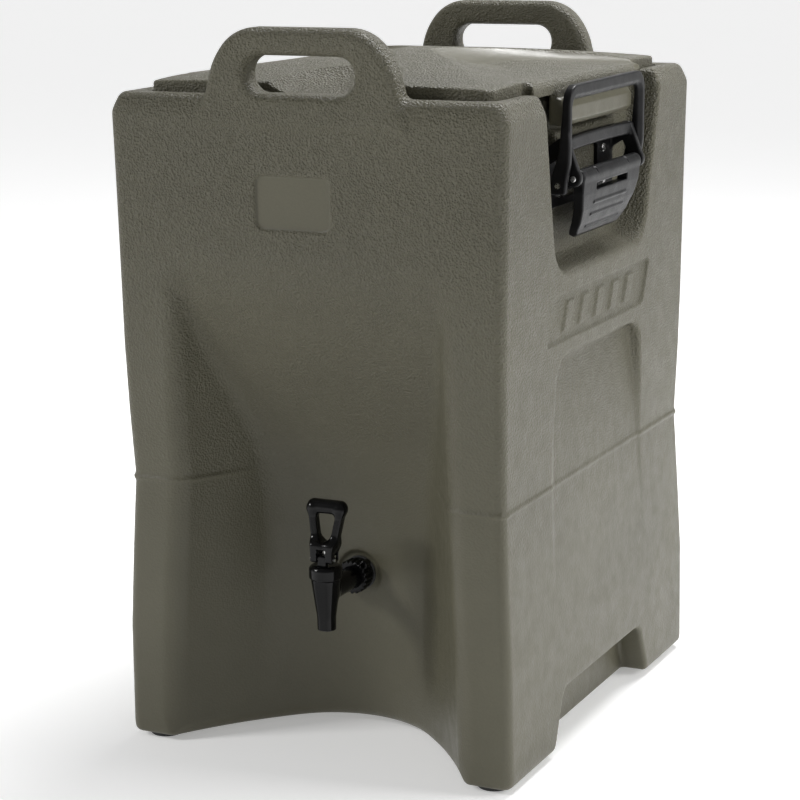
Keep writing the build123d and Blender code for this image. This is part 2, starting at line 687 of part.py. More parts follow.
with BuildPart() as faucet_body:
    with BuildSketch(Plane.YZ):
        with BuildLine():
            Polyline((SPOUT_Y, SPOUT_FOOT_Z), (SPOUT_Y + 9.4, SPOUT_FOOT_Z), (SPOUT_Y + 9.6, 146),
                     (SPOUT_Y + 14.4, 181), (SPOUT_Y + 14.4, BONNET_Z), (SPOUT_Y, BONNET_Z), close=True)
        make_face()
    revolve(axis=Axis((0, SPOUT_Y, 0), (0, 0, 1)))
    add(turned(SHANK_R + 1, NUT_FRONT_Y + 4, SPOUT_Y))
    add(turned(SHANK_R + 2.4, NUT_Y - 6, NUT_Y - 10))
    # outlet, seat, chamber and inlet
    add(upright(SEAT_R, SPOUT_FOOT_Z, SEAT_Z), mode=Mode.SUBTRACT)
    add(upright(CHAMBER_R - 2, SEAT_Z, SEAT_Z + 8), mode=Mode.SUBTRACT)
    add(upright(CHAMBER_R, SEAT_Z + 8, BONNET_Z), mode=Mode.SUBTRACT)
    add(turned(SHANK_BORE_R, NUT_Y - 6, SPOUT_Y), mode=Mode.SUBTRACT)
save(faucet_body, "faucet_body")

with BuildPart() as bonnet:
    add(upright(BONNET_R, BONNET_Z, BONNET_TOP_Z))
    fillet(bonnet.edges().group_by(Axis.Z)[-1], 4)
    fillet(bonnet.edges().group_by(Axis.Z)[0], 1.5)
    # tongue that carries the handle's pin in front of the stem
    with BuildSketch(Plane.YZ):
        Polygon((HANDLE_PIN_Y - 3.5, BONNET_TOP_Z - 4), (HANDLE_PIN_Y + 1.8, BONNET_TOP_Z - 4),
                (HANDLE_PIN_Y + 1.8, HANDLE_PIN_Z + 2), (HANDLE_PIN_Y, HANDLE_PIN_Z + 3.5),
                (HANDLE_PIN_Y - 3.5, HANDLE_PIN_Z + 1), align=None)
    extrude(amount=TONGUE_HALF, both=True)
    add(upright(STEM_R + 0.1, BONNET_Z, STEM_TOP_Z), mode=Mode.SUBTRACT)
    add(crosswise(HANDLE_PIN_R, HANDLE_PIN_Y, HANDLE_PIN_Z, NECK_HALF), mode=Mode.SUBTRACT)
save(bonnet, "faucet_bonnet")

with BuildPart() as handle_pin:
    add(crosswise(HANDLE_PIN_R, HANDLE_PIN_Y, HANDLE_PIN_Z, NECK_HALF + 0.2))
save(handle_pin, "faucet_handle_pin")

with BuildPart() as stem:
    add(upright(STEM_R, SEAT_Z + 2, STEM_TOP_Z))
    add(upright(2 * STEM_R, SEAT_Z + 7.2, SEAT_Z + 8.8))
    add(crosswise(CROSS_PIN_R, SPOUT_Y, CROSS_PIN_Z, CROSS_PIN_HALF))
save(stem, "faucet_stem")

with BuildPart() as seat_cup:
    add(upright(CHAMBER_R - 2.6, SEAT_Z + 0.3, SEAT_Z + 7.2))
    add(upright(STEM_R, SEAT_Z + 2, SEAT_Z + 7.2), mode=Mode.SUBTRACT)
save(seat_cup, "faucet_seat_cup")

with BuildPart() as spring:
    with BuildLine() as coil:
        Helix(pitch=SPRING_PITCH, height=SPRING_PITCH * SPRING_TURNS, radius=SPRING_R,
              center=(0, SPOUT_Y, SEAT_Z + 8.8 + SPRING_WIRE_R))
    with BuildSketch(Plane(origin=coil.line @ 0, z_dir=coil.line % 0)):
        Circle(SPRING_WIRE_R)
    sweep(is_frenet=True)
save(spring, "faucet_spring")

with BuildPart() as grip_bar:
    add(crosswise(BAR_R, SPOUT_Y, BAR_Z, BAR_HALF))
    fillet(grip_bar.edges().filter_by(GeomType.CIRCLE), 5)

with BuildPart() as handle:
    # neck that straddles the tongue and the stem
    with BuildSketch(Plane.YZ):
        Polygon((HANDLE_PIN_Y - 6, HANDLE_PIN_Z), (HANDLE_PIN_Y - 6, 222), (SPOUT_Y + 6.5, 222),
                (SPOUT_Y + 6.5, 201), (HANDLE_PIN_Y + 1, 200.5), align=None)
        with Locations((HANDLE_PIN_Y, HANDLE_PIN_Z)):
            Circle(6)
    extrude(amount=NECK_HALF, both=True)
    # two arms that spread up to a round grip bar, with a drop-shaped loop between them
    with BuildSketch(Plane.XZ.offset(-SPOUT_Y - 5)):
        Polygon((-NECK_HALF, 214), (NECK_HALF, 214), (19, BAR_Z), (-19, BAR_Z), align=None)
    extrude(amount=10)
    with BuildSketch(Plane.XZ.offset(-SPOUT_Y - 5)) as loop:
        Polygon((-10.5, 248), (10.5, 248), (5.5, 221.5), (-5.5, 221.5), align=None)
        fillet(loop.vertices(), 3.5)
    extrude(amount=10, mode=Mode.SUBTRACT)
    add(grip_bar.part)
    # slot for the tongue and the stem, and windows for the stem's cross pin
    with BuildSketch(Plane.XY.offset(198)):
        with Locations((0, SPOUT_Y)):
            Rectangle(2 * TONGUE_HALF + 1, 40)
    extrude(amount=18, mode=Mode.SUBTRACT)
    with BuildSketch(Plane.YZ):
        with Locations((SPOUT_Y + 0.6, CROSS_PIN_Z + 0.4)):
            RectangleRounded(7.2, 8, 1.5)
    extrude(amount=NECK_HALF, both=True, mode=Mode.SUBTRACT)
    add(crosswise(HANDLE_PIN_R + RUNNING_GAP, HANDLE_PIN_Y, HANDLE_PIN_Z, NECK_HALF), mode=Mode.SUBTRACT)
save(handle, "faucet_handle")
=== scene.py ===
import json
from math import cos, radians, sin

import bpy
import numpy as np
from mathutils import Matrix, Vector


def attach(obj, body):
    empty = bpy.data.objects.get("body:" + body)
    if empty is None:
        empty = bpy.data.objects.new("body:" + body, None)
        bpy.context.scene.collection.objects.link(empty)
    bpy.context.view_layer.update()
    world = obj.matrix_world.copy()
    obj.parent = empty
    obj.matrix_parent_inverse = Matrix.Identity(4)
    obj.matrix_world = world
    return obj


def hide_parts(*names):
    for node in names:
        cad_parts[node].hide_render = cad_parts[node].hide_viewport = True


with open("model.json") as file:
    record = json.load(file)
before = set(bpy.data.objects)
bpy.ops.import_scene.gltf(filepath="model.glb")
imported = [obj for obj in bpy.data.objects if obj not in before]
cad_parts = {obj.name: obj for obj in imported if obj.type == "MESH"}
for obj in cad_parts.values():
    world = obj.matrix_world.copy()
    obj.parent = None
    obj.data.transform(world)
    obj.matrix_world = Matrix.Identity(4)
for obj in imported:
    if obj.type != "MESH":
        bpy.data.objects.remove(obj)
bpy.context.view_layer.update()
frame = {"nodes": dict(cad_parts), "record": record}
MM = 0.001


# ---------------------------------------------------------------- solid fields
# A field gives, in millimetres, roughly how far a point lies outside a form: negative is
# inside. The fields below are joined with round fillets and meshed at their zero surface.
def round_max(a, b, r):
    """Both forms at once, with a round edge of radius r where they meet."""
    near_a = np.maximum(a + r, 0)
    near_b = np.maximum(b + r, 0)
    return np.minimum(np.maximum(a, b), -r) + np.sqrt(near_a * near_a + near_b * near_b)


def round_min(a, b, r):
    """Either form, with a fillet of radius r where they meet."""
    return -round_max(-a, -b, r)


def cut(a, b, r):
    """Form a without form b, with a rim of radius r."""
    return round_max(a, -b, r)


def slab(u, low, high):
    """The layer between two flat faces."""
    return np.maximum(low - u, u - high)


def rounded_box(u, v, half_u, half_v, r):
    """Rectangle with round corners, in two coordinates."""
    qu = np.abs(u) - half_u + r
    qv = np.abs(v) - half_v + r
    return np.minimum(np.maximum(qu, qv), 0) + np.hypot(np.maximum(qu, 0), np.maximum(qv, 0)) - r


def disc(u, v, r):
    return np.hypot(u, v) - r


def capsule(u, v, start, end, r):
    """Distance to a thick line between two points, in two coordinates."""
    du, dv = end[0] - start[0], end[1] - start[1]
    t = np.clip(((u - start[0]) * du + (v - start[1]) * dv) / (du * du + dv * dv), 0, 1)
    return np.hypot(u - start[0] - t * du, v - start[1] - t * dv) - r


def polygon(u, v, points):
    """Signed distance to a closed outline, in two coordinates."""
    near = np.full(np.broadcast(u, v).shape, 1e9, np.float32)
    inside = np.zeros(near.shape, bool)
    for (au, av), (bu, bv) in zip(points, points[1:] + points[:1]):
        eu, ev = bu - au, bv - av
        wu, wv = u - au, v - av
        t = np.clip((wu * eu + wv * ev) / (eu * eu + ev * ev), 0, 1)
        near = np.minimum(near, (wu - eu * t) ** 2 + (wv - ev * t) ** 2)
        if ev:
            crosses = ((av > v) != (bv > v)) & (u < eu * (v - av) / ev + au)
            inside = inside ^ crosses
    return np.where(inside, -1, 1) * np.sqrt(near)


def profile(pairs, soft):
    """A smooth curve through (position, value) pairs; soft is the width that corners blend over."""
    at = np.array([p[0] for p in pairs], float)
    value = np.array([p[1] for p in pairs], float)
    order = np.argsort(at)
    at, value = at[order], value[order]
    grid = np.arange(at[0] - 100, at[-1] + 100, 1.0)
    table = np.interp(grid, at, value)
    kernel = np.ones(int(soft)) / int(soft)
    for _ in range(2):
        padded = np.pad(table, len(kernel), mode="edge")
        table = np.convolve(padded, kernel, mode="same")[len(kernel):-len(kernel)]
    return lambda u: np.interp(u, grid, table).astype(np.float32)


def smooth_step(u, low, high):
    t = np.clip((u - low) / (high - low), 0, 1)
    return t * t * (3 - 2 * t)


def steps(low, high, size, fine=()):
    """Grid positions from low to high, finer inside the given (low, high, size) stretches."""
    cuts = [(low, high, size)]
    for f_low, f_high, f_size in fine:
        last = cuts.pop()
        cuts += [(last[0], f_low, size), (f_low, f_high, f_size), (f_high, last[1], size)]
    places = [np.linspace(a, b, max(2, int(round((b - a) / s)) + 1))[:-1] for a, b, s in cuts if b > a]
    return np.concatenate(places + [[high]]).astype(np.float32)


def mesh_field(name, field, xs, ys, zs, rounds=3):
    """Meshes a field's zero surface with one vertex in each grid cell that the surface crosses."""
    value = field(xs[:, None, None], ys[None, :, None], zs[None, None, :])
    value = np.broadcast_to(value, (len(xs), len(ys), len(zs))).astype(np.float32)
    inside = value < 0
    count = np.zeros(tuple(n - 1 for n in value.shape), np.uint8)
    corners = [(i, j, k) for i in (0, 1) for j in (0, 1) for k in (0, 1)]
    for i, j, k in corners:
        count += inside[i:i + count.shape[0], j:j + count.shape[1], k:k + count.shape[2]]
    ci, cj, ck = np.nonzero((count > 0) & (count < 8))
    low = np.stack([xs[ci], ys[cj], zs[ck]], 1)
    span = np.stack([xs[ci + 1], ys[cj + 1], zs[ck + 1]], 1) - low
    at = {c: value[ci + c[0], cj + c[1], ck + c[2]] for c in corners}
    total, hits = np.zeros((len(ci), 3), np.float32), np.zeros(len(ci), np.float32)
    for a in corners:
        for axis in range(3):
            if a[axis]:
                continue
            b = tuple(1 if n == axis else a[n] for n in range(3))
            crossing = (at[a] < 0) != (at[b] < 0)
            t = np.where(crossing, at[a] / np.where(crossing, at[a] - at[b], 1), 0)
            spot = np.tile(np.array(a, np.float32), (len(ci), 1))
            spot[:, axis] = t
            total += spot * crossing[:, None]
            hits += crossing
    points = (low + span * total / hits[:, None]).astype(np.float64)
    ids = np.full(count.shape, -1, np.int32)
    ids[ci, cj, ck] = np.arange(len(ci))
    quads = []
    for axis in range(3):
        u, v = (axis + 1) % 3, (axis + 2) % 3
        first = [slice(1, -1)] * 3
        second = [slice(1, -1)] * 3
        first[axis], second[axis] = slice(0, -1), slice(1, None)
        flips = inside[tuple(first)] != inside[tuple(second)]
        grown = inside[tuple(first)][flips]
        spot = np.array(np.nonzero(flips))
        spot[u] += 1
        spot[v] += 1
        ring = []
        for du, dv in ((-1, -1), (0, -1), (0, 0), (-1, 0)):
            cell = spot.copy()
            cell[u] += du
            cell[v] += dv
            ring.append(ids[tuple(cell)])
        ring = np.stack(ring, 1)
        ring[~grown] = ring[~grown][:, ::-1]
        quads.append(ring)
    quads = np.concatenate(quads)
    cell_size = float(np.median(span))

    def height(p):
        return field(*(p[:, n].astype(np.float32) for n in range(3))).astype(np.float64)

    def onto_surface(p):
        probe = 0.25 * cell_size
        here = height(p)
        slope = np.stack([height(p + probe * np.eye(3)[n]) - height(p - probe * np.eye(3)[n])
                          for n in range(3)], 1) / (2 * probe)
        steep = np.maximum((slope ** 2).sum(1), 0.09)
        move = -slope * (here / steep)[:, None]
        length = np.linalg.norm(move, axis=1)
        return p + move * np.minimum(1, 0.6 * cell_size / np.maximum(length, 1e-9))[:, None]

    for _ in range(rounds):
        links = np.concatenate([quads[:, [a, (a + 1) % 4]] for a in range(4)])
        summed = np.stack([np.bincount(links[:, 0], points[links[:, 1], n], len(points))
                           + np.bincount(links[:, 1], points[links[:, 0], n], len(points))
                           for n in range(3)], 1)
        degree = np.bincount(links.ravel(), minlength=len(points))
        points = points + 0.5 * (summed / np.maximum(degree, 1)[:, None] - points)
        points = onto_surface(onto_surface(points))
    mesh = bpy.data.meshes.new(name)
    mesh.vertices.add(len(points))
    mesh.vertices.foreach_set("co", (points * MM).astype(np.float32).ravel())
    mesh.loops.add(4 * len(quads))
    mesh.loops.foreach_set("vertex_index", quads.astype(np.int32).ravel())
    mesh.polygons.add(len(quads))
    mesh.polygons.foreach_set("loop_start", np.arange(0, 4 * len(quads), 4, dtype=np.int32))
    mesh.polygons.foreach_set("use_smooth", np.ones(len(quads), bool))
    mesh.update(calc_edges=True)
    piece = bpy.data.objects.new(name, mesh)
    bpy.context.scene.collection.objects.link(piece)
    return piece


# ---------------------------------------------------------------- materials
class Shader:
    """A material's node tree, with short calls for the nodes that this scene uses."""

    def __init__(self, name):
        self.material = bpy.data.materials.new(name)
        self.material.use_nodes = True
        self.tree = self.material.node_tree
        self.tree.nodes.clear()
        self.out = self.tree.nodes.new("ShaderNodeOutputMaterial")
        self.bsdf = self.tree.nodes.new("ShaderNodeBsdfPrincipled")
        self.join(self.bsdf.outputs[0], self.out.inputs[0])
        self.place = self.tree.nodes.new("ShaderNodeTexCoord").outputs["Object"]

    def join(self, output, socket):
        self.tree.links.new(output, socket)

    def noise(self, scale, detail=3, rough=0.55, squeeze=None):
        node = self.tree.nodes.new("ShaderNodeTexNoise")
        node.inputs["Scale"].default_value = scale
        node.inputs["Detail"].default_value = detail
        node.inputs["Roughness"].default_value = rough
        place = self.place
        if squeeze:
            mapping = self.tree.nodes.new("ShaderNodeMapping")
            mapping.inputs["Scale"].default_value = squeeze
            self.join(self.place, mapping.inputs[0])
            place = mapping.outputs[0]
        self.join(place, node.inputs["Vector"])
        return node.outputs[0]

    def cells(self, scale, smooth=0.6):
        node = self.tree.nodes.new("ShaderNodeTexVoronoi")
        node.feature = "SMOOTH_F1"
        node.inputs["Scale"].default_value = scale
        node.inputs["Smoothness"].default_value = smooth
        self.join(self.place, node.inputs["Vector"])
        return node.outputs["Distance"]

    def spread(self, output, low, high, to_low=0.0, to_high=1.0):
        node = self.tree.nodes.new("ShaderNodeMapRange")
        for key, number in (("From Min", low), ("From Max", high), ("To Min", to_low), ("To Max", to_high)):
            node.inputs[key].default_value = number
        self.join(output, node.inputs["Value"])
        return node.outputs[0]

    def maths(self, operation, a, b):
        node = self.tree.nodes.new("ShaderNodeMath")
        node.operation = operation
        for socket, item in zip(node.inputs, (a, b)):
            if isinstance(item, (int, float)):
                socket.default_value = item
            else:
                self.join(item, socket)
        return node.outputs[0]

    def attribute(self, name):
        node = self.tree.nodes.new("ShaderNodeAttribute")
        node.attribute_name = name
        return node.outputs["Fac"]

    def part_of(self, output, axis):
        node = self.tree.nodes.new("ShaderNodeSeparateXYZ")
        self.join(output, node.inputs[0])
        return node.outputs[axis]

    def pointiness(self):
        return self.tree.nodes.new("ShaderNodeNewGeometry").outputs["Pointiness"]

    def colours(self, factor, stops):
        node = self.tree.nodes.new("ShaderNodeValToRGB")
        ramp = node.color_ramp
        while len(ramp.elements) < len(stops):
            ramp.elements.new(0.5)
        for element, (at, colour) in zip(ramp.elements, stops):
            element.position = at
            element.color = (*colour, 1)
        self.join(factor, node.inputs[0])
        return node.outputs[0]

    def bump(self, height, strength, distance, normal=None):
        node = self.tree.nodes.new("ShaderNodeBump")
        node.inputs["Distance"].default_value = distance
        if isinstance(strength, (int, float)):
            node.inputs["Strength"].default_value = strength
        else:
            self.join(strength, node.inputs["Strength"])
        self.join(height, node.inputs["Height"])
        if normal:
            self.join(normal, node.inputs["Normal"])
        return node.outputs[0]

    def finish(self, **values):
        for key, value in values.items():
            socket = self.bsdf.inputs[key.replace("_", " ")]
            if isinstance(value, bpy.types.NodeSocket):
                self.join(value, socket)
            else:
                socket.default_value = value
        return self.material


def shade(colour, factor):
    return tuple(min(1, c * factor) for c in colour)


OLIVE = (0.087, 0.082, 0.056)
PEBBLES_PER_M = 470
PEBBLE_DEPTH = 0.0023


def moulded_plastic(name, colour, grain_from, grain_to, grain_low, grain_high):
    """Rotomoulded polyethylene: a pebbled skin that fades between two heights and where it is polished."""
    s = Shader(name)
    height = s.part_of(s.place, 2)
    polished = s.attribute("polish")
    fade = s.spread(height, grain_from, grain_to, grain_low, grain_high)
    fade = s.maths("MULTIPLY", fade, s.spread(polished, 0.0, 1.0, 1.0, 0.06))
    pebbles = s.maths("ADD", s.cells(PEBBLES_PER_M), s.maths("MULTIPLY", s.noise(1000, 2), 0.5))
    ripple = s.bump(s.noise(14, 2), 0.25, 0.004)
    skin = s.bump(pebbles, fade, PEBBLE_DEPTH, ripple)
    tone = s.maths("ADD", s.noise(5, 4), s.maths("MULTIPLY", s.noise(420, 2), 0.35))
    # Painted shade: the pebbles' hollows are painted darker and their crests lighter, as strongly as the
    # grain.
    painted_pit_shade = s.maths("SUBTRACT", s.cells(PEBBLES_PER_M), 0.35)
    painted_pit_shade = s.maths("MULTIPLY", painted_pit_shade, s.maths("MULTIPLY", fade, 0.3))
    tone = s.maths("ADD", tone, painted_pit_shade)
    # Painted highlight and shade: convex edges are painted lighter and creases darker, by pointiness.
    edges = s.spread(s.pointiness(), 0.47, 0.58, -0.18, 0.22)
    tone = s.maths("ADD", tone, edges)
    colours = s.colours(tone, ((0.38, shade(colour, 0.90)), (0.62, colour), (1.0, shade(colour, 1.16))))
    rough = s.spread(s.noise(60, 3), 0.3, 0.7, 0.36, 0.48)
    rough = s.maths("SUBTRACT", rough, s.maths("MULTIPLY", polished, 0.03))
    return s.finish(Base_Color=colours, Roughness=rough, Normal=skin, Specular_IOR_Level=0.34)


def black_plastic(name, tone, rough_low, rough_high, grain, scale, shine, painted_edge_highlight):
    """Black moulding with a fine grain, with painted highlights that lighten its edges."""
    s = Shader(name)
    colour = (tone, tone, tone * 1.05)
    # Painted highlight: convex edges are painted lighter, up to the last argument times the colour, and
    # creases a little darker, over a random tone.
    edges = s.maths("ADD", s.noise(40, 3), s.spread(s.pointiness(), 0.49, 0.58, -0.1, 0.45))
    colours = s.colours(edges, ((0.4, colour), (0.75, shade(colour, 2.0)), (1.0, shade(colour, painted_edge_highlight))))
    skin = s.bump(s.noise(scale, 3), grain, 0.0003)
    rough = s.spread(s.noise(90, 3), 0.3, 0.7, rough_low, rough_high)
    return s.finish(Base_Color=colours, Roughness=rough, Normal=skin, Specular_IOR_Level=shine)


def rubber(name, tone):
    s = Shader(name)
    colour = (tone, tone, tone)
    colours = s.colours(s.noise(120, 4), ((0.35, shade(colour, 0.8)), (0.7, shade(colour, 1.25))))
    skin = s.bump(s.noise(1500, 2), 0.3, 0.0002)
    rough = s.spread(s.noise(200, 2), 0.3, 0.7, 0.7, 0.85)
    return s.finish(Base_Color=colours, Roughness=rough, Normal=skin)


def turned_steel(name):
    s = Shader(name)
    lines = s.noise(900, 3, squeeze=(1, 0.05, 1))
    colours = s.colours(lines, ((0.3, (0.48, 0.48, 0.47)), (0.7, (0.66, 0.66, 0.65))))
    skin = s.bump(lines, 0.15, 0.0001)
    rough = s.spread(lines, 0.3, 0.7, 0.22, 0.36)
    return s.finish(Base_Color=colours, Metallic=1.0, Roughness=rough, Normal=skin)


def foam(name):
    s = Shader(name)
    colours = s.colours(s.cells(700), ((0.1, (0.62, 0.55, 0.36)), (0.6, (0.85, 0.78, 0.56))))
    skin = s.bump(s.cells(700), 0.5, 0.0006)
    return s.finish(Base_Color=colours, Roughness=0.9, Normal=skin)


MATERIALS = {
    "tub_plastic": moulded_plastic("tub_plastic", OLIVE, 0.2, 0.56, 0.12, 1.0),
    "lid_plastic": moulded_plastic("lid_plastic", OLIVE, 0.0, 0.5, 0.9, 0.9),
    "liner_plastic": moulded_plastic("liner_plastic", shade(OLIVE, 1.15), 0.0, 0.6, 0.12, 0.12),
    # The last number of each black plastic is how many times lighter its painted edge highlight gets.
    "latch_plastic": black_plastic("latch_plastic", 0.006, 0.28, 0.4, 0.3, 1400, 0.12, 9.0),
    "faucet_plastic": black_plastic("faucet_plastic", 0.002, 0.1, 0.18, 0.05, 500, 0.2, 3.0),
    "rubber": rubber("rubber", 0.028),
    "seal_rubber": rubber("seal_rubber", 0.05),
    "steel": turned_steel("steel"),
    "foam": foam("foam"),
}
for part in frame["record"]["subparts"]:
    material = MATERIALS[part["material_slot"]]
    mesh = frame["nodes"][part["node"]].data
    mesh.materials.clear()
    mesh.materials.append(material)


def settle(piece, body, slot, *nodes):
    """Gives a new piece its body, its slot and the nodes that it stands for."""
    piece.data.materials.append(MATERIALS[slot])
    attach(piece, body)
    if nodes:
        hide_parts(*nodes)
    return piece


def polish(piece, mask):
    """Marks the smooth places on a grained moulding: mask gives 0 for grained and 1 for polished."""
    mesh = piece.data
    spots = np.empty(3 * len(mesh.vertices), np.float32)
    mesh.vertices.foreach_get("co", spots)
    x, y, z = spots.reshape(-1, 3).T / MM
    shine = mesh.attributes.new("polish", "FLOAT", "POINT")
    shine.data.foreach_set("value", np.asarray(mask(x, y, z), np.float32))


# ---------------------------------------------------------------- tub
FLOOR_GAP, RIM_Z, DECK_Z, SEAM_Z = 5.0, 660.0, 651.0, 275.0
GRIP_FACE_Y, GRIP_TOP, GRIP_THICK = 256.0, 724.5, 30.0
RECESS_FACE_Y = -253.0
POCKET_X, POCKET_FLOOR_Z = 178, 497
SCOOP_TOP_Z, NOTCH_TOP_Z = 400, 64
PANEL_Y, PANEL_Z, PANEL_LEAN, RIB_PITCH = -4, 441, 0.39, 42
PLATE_X, PLATE_Z, PLATE_DEPTH = -10, 560, 2.6
TANK_HALF_W, TANK_END_Y, TANK_FLOOR_Z = 147, 200, 138
TANK_STEP_Y, TANK_STEP_Z = -84, 315
SHANK_Z = 170.0
half_width = profile(((5, 210), (14, 211), (120, 210), (200, 206), (275, 202.5), (345, 204.5), (410, 205.5),
                      (560, 208), (642, 210), (660, 203)), 5)
half_depth = profile(((5, 251), (14, 252), (120, 252), (200, 250), (275, 246), (345, 250), (410, 253),
                      (641, 253), (652, 250), (660, 245)), 8)
crease_x = profile(((520, 150), (497, 143), (474, 137), (426, 128), (387, 118), (348, 107), (311, 97),
                    (280, 92), (237, 88), (180, 87), (90, 87), (-5, 88)), 16)
crease_y = profile(((540, -284), (497, -262), (474, -249), (426, -229), (387, -209), (348, -189), (311, -171),
                    (280, -163), (237, -158), (180, -157), (90, -157), (-5, -158)), 16)
middle_y = profile(((540, -278), (497, -259), (474, -247), (426, -224), (387, -202), (348, -180), (311, -161),
                    (280, -152), (237, -147), (180, -145), (90, -136), (-5, -119)), 18)
mouth_x = profile(((-5, 161), (275, 149), (470, 137), (520, 132)), 30)


def recess_field(x, y, z):
    """The hollow under the faucet: a shallow arched back between two slanted walls."""
    side = np.abs(x)
    corner_x, corner_y, back_y = crease_x(z), crease_y(z), middle_y(z)
    back = y - (back_y + (corner_y - back_y) * (x / corner_x) ** 2)
    slope = (np.maximum(mouth_x(z), corner_x + 4) - corner_x) / np.maximum(corner_y - RECESS_FACE_Y, 6)
    slope = np.clip(slope, 0.2, 2.2)
    bow = 4.0 * np.clip(1 - ((y - (corner_y + RECESS_FACE_Y) / 2) / 50) ** 2, 0, 1)
    wall = (side - corner_x - bow - slope * (corner_y - y)) / np.sqrt(1 + slope * slope)
    return round_max(back, wall, 9.0)


def pocket_field(x, y, z):
    """The drafted latch pocket, the same on both sides."""
    out = (np.abs(x) - POCKET_X) / 50
    rise = np.clip((z - 490) / 150, 0, 1.2)
    half = (114 + 37 * rise) * (1 - out) + (128 + 29 * rise) * out
    walls = round_max((np.abs(y) - half) * 0.96, (POCKET_FLOOR_Z - 23 * out - z) * 0.92, 27)
    return round_max(walls, POCKET_X - np.abs(x), 5)


def scoop_field(x, y, z):
    """The shallow hollow on each side, deepest under its top edge and fading out downwards."""
    out = np.abs(x) - 192 - (SCOOP_TOP_Z - z) * 0.088
    rise = (SCOOP_TOP_Z - z) / 100
    walls = round_max((np.abs(y) - 114 - 8 * rise) * 0.99, z - SCOOP_TOP_Z, 24)
    return round_max(walls, -out, 8)


def notch_field(x, y, z):
    """The foot notch under each side."""
    half = 136 - 27 * np.clip(z, 0, 70) / 64
    walls = round_max((np.abs(y) - half) * 0.92, z - NOTCH_TOP_Z, 9)
    return round_max(walls, 182 - np.abs(x), 4)


def on_plate(x, y, z):
    """1 on the shallow blank plate, high on the front, and 0 off it."""
    return smooth_step(rounded_box(x - PLATE_X, z - PLATE_Z, 40, 26, 8), 1, -1) * (y < -200)


def relief(x, y, z):
    """How far the surface is moved outward by fine moulded detail."""
    band = np.exp(-((z - SEAM_Z) / 2.6) ** 2)
    on_posts = smooth_step(np.abs(x), 96, 124) + smooth_step(y, -120, -60)
    raised = 1.9 * band * np.clip(on_posts, 0, 1)
    on_side = smooth_step(np.abs(x), 194, 199)
    along = y - (z - PANEL_Z) * PANEL_LEAN - PANEL_Y
    panel = smooth_step(rounded_box(along, z - PANEL_Z, 134, 23, 9), 1.2, -1.2)
    phase = along / RIB_PITCH
    rib = np.abs(phase - np.round(phase)) * RIB_PITCH - 9
    ribs = np.maximum(np.maximum(rib, np.abs(z - PANEL_Z) - 14), np.abs(along) - 116)
    raised = raised + on_side * (-2.4 * panel + 1.8 * smooth_step(ribs, 0.9, -0.9))
    return raised - PLATE_DEPTH * on_plate(x, y, z)


def grip_field(x, y, z):
    """The upright carrying grips at the front and the back."""
    half = 94 + 14 * np.clip((706 - z) / 60, 0, 1.4) ** 1.5
    arch = round_max((np.abs(x) - half) * 0.98, z - GRIP_TOP, 46)
    window = rounded_box(x, z - 680.5, 57, 18, 17.5)
    flat = slab(np.abs(y), GRIP_FACE_Y - GRIP_THICK, GRIP_FACE_Y)
    return cut(round_max(round_max(arch, 628 - z, 6), flat, 9.5), window, 8.5)


def tank_field(x, y, z):
    """The hollow for the tank, whose front slopes down and back over the recess."""
    slope = (TANK_STEP_Z + (TANK_STEP_Y - y) * 1.853 - z) * 0.475
    front = np.minimum(TANK_STEP_Y - y, np.maximum(slope, -TANK_END_Y - y))
    walls = np.maximum(np.abs(x) - TANK_HALF_W, np.maximum(y - TANK_END_Y, front))
    return np.maximum(walls, TANK_FLOOR_Z - z)


def tub_field(x, y, z):
    """The whole tub moulding, with a hollow for the tank."""
    tub = rounded_box(x, y, half_width(z), half_depth(z), 10)
    tub = round_max(tub, z - RIM_Z, 5)
    tub = round_max(tub, FLOOR_GAP - z, 6)
    tub = cut(tub, recess_field(x, y, z), 13)
    tub = round_min(tub, grip_field(x, y, z), 5)
    deck = round_max(rounded_box(x, y, 184.5, 224.5, 13), DECK_Z - z, 2.5)
    tub = cut(tub, deck, 4.5)
    tub = cut(tub, pocket_field(x, y, z), 5)
    ledge = round_max(disc(np.abs(x) - 181, z - 610, 8), np.abs(y) - 80, 3)
    tub = round_min(tub, ledge, 2)
    tub = cut(tub, scoop_field(x, y, z), 6)
    tub = cut(tub, notch_field(x, y, z), 4)
    seat = round_max(disc(x, z - SHANK_Z, 23), y + 142, 2)
    tub = cut(tub, np.maximum(seat, -y - 260), 1.5)
    tub = tub - relief(x, y, z)
    return np.maximum(tub, -tank_field(x, y, z))


coarse = 2.8
tub = mesh_field(
    "tub_moulding", tub_field,
    steps(-214, 214, coarse), steps(-262, 262, coarse),
    steps(0, 734, coarse, ((264, 286, coarse / 2), (414, 470, coarse / 1.5), (530, 590, coarse / 1.5))),
)
settle(tub, "tub", "tub_plastic", "outer_shell")
polish(tub, on_plate)


# ---------------------------------------------------------------- lid
LID_HALF_W, LID_HALF_D, LID_BASE_Z, LID_EDGE_Z, LID_RISE = 181.0, 221.0, 655.0, 671.0, 18.0
HOLLOW_X, HOLLOW_Y, HOLLOW_R = 178, -17, 164
LID_SKIN = 6


def side_hollow(x, y):
    """How far into a side hollow a point is, and where on its swept wall: 0 at the rim, 1 at the foot."""
    side = np.abs(x)
    circle = HOLLOW_R - np.hypot(side - HOLLOW_X, y - HOLLOW_Y)
    diagonal = ((side - 15) * 221 + y * 166) / 276.4
    inward = -round_max(-circle, -diagonal, 6)
    return inward, np.clip(inward / np.clip(66 - 0.4 * y, 16, 66), 0, 1)


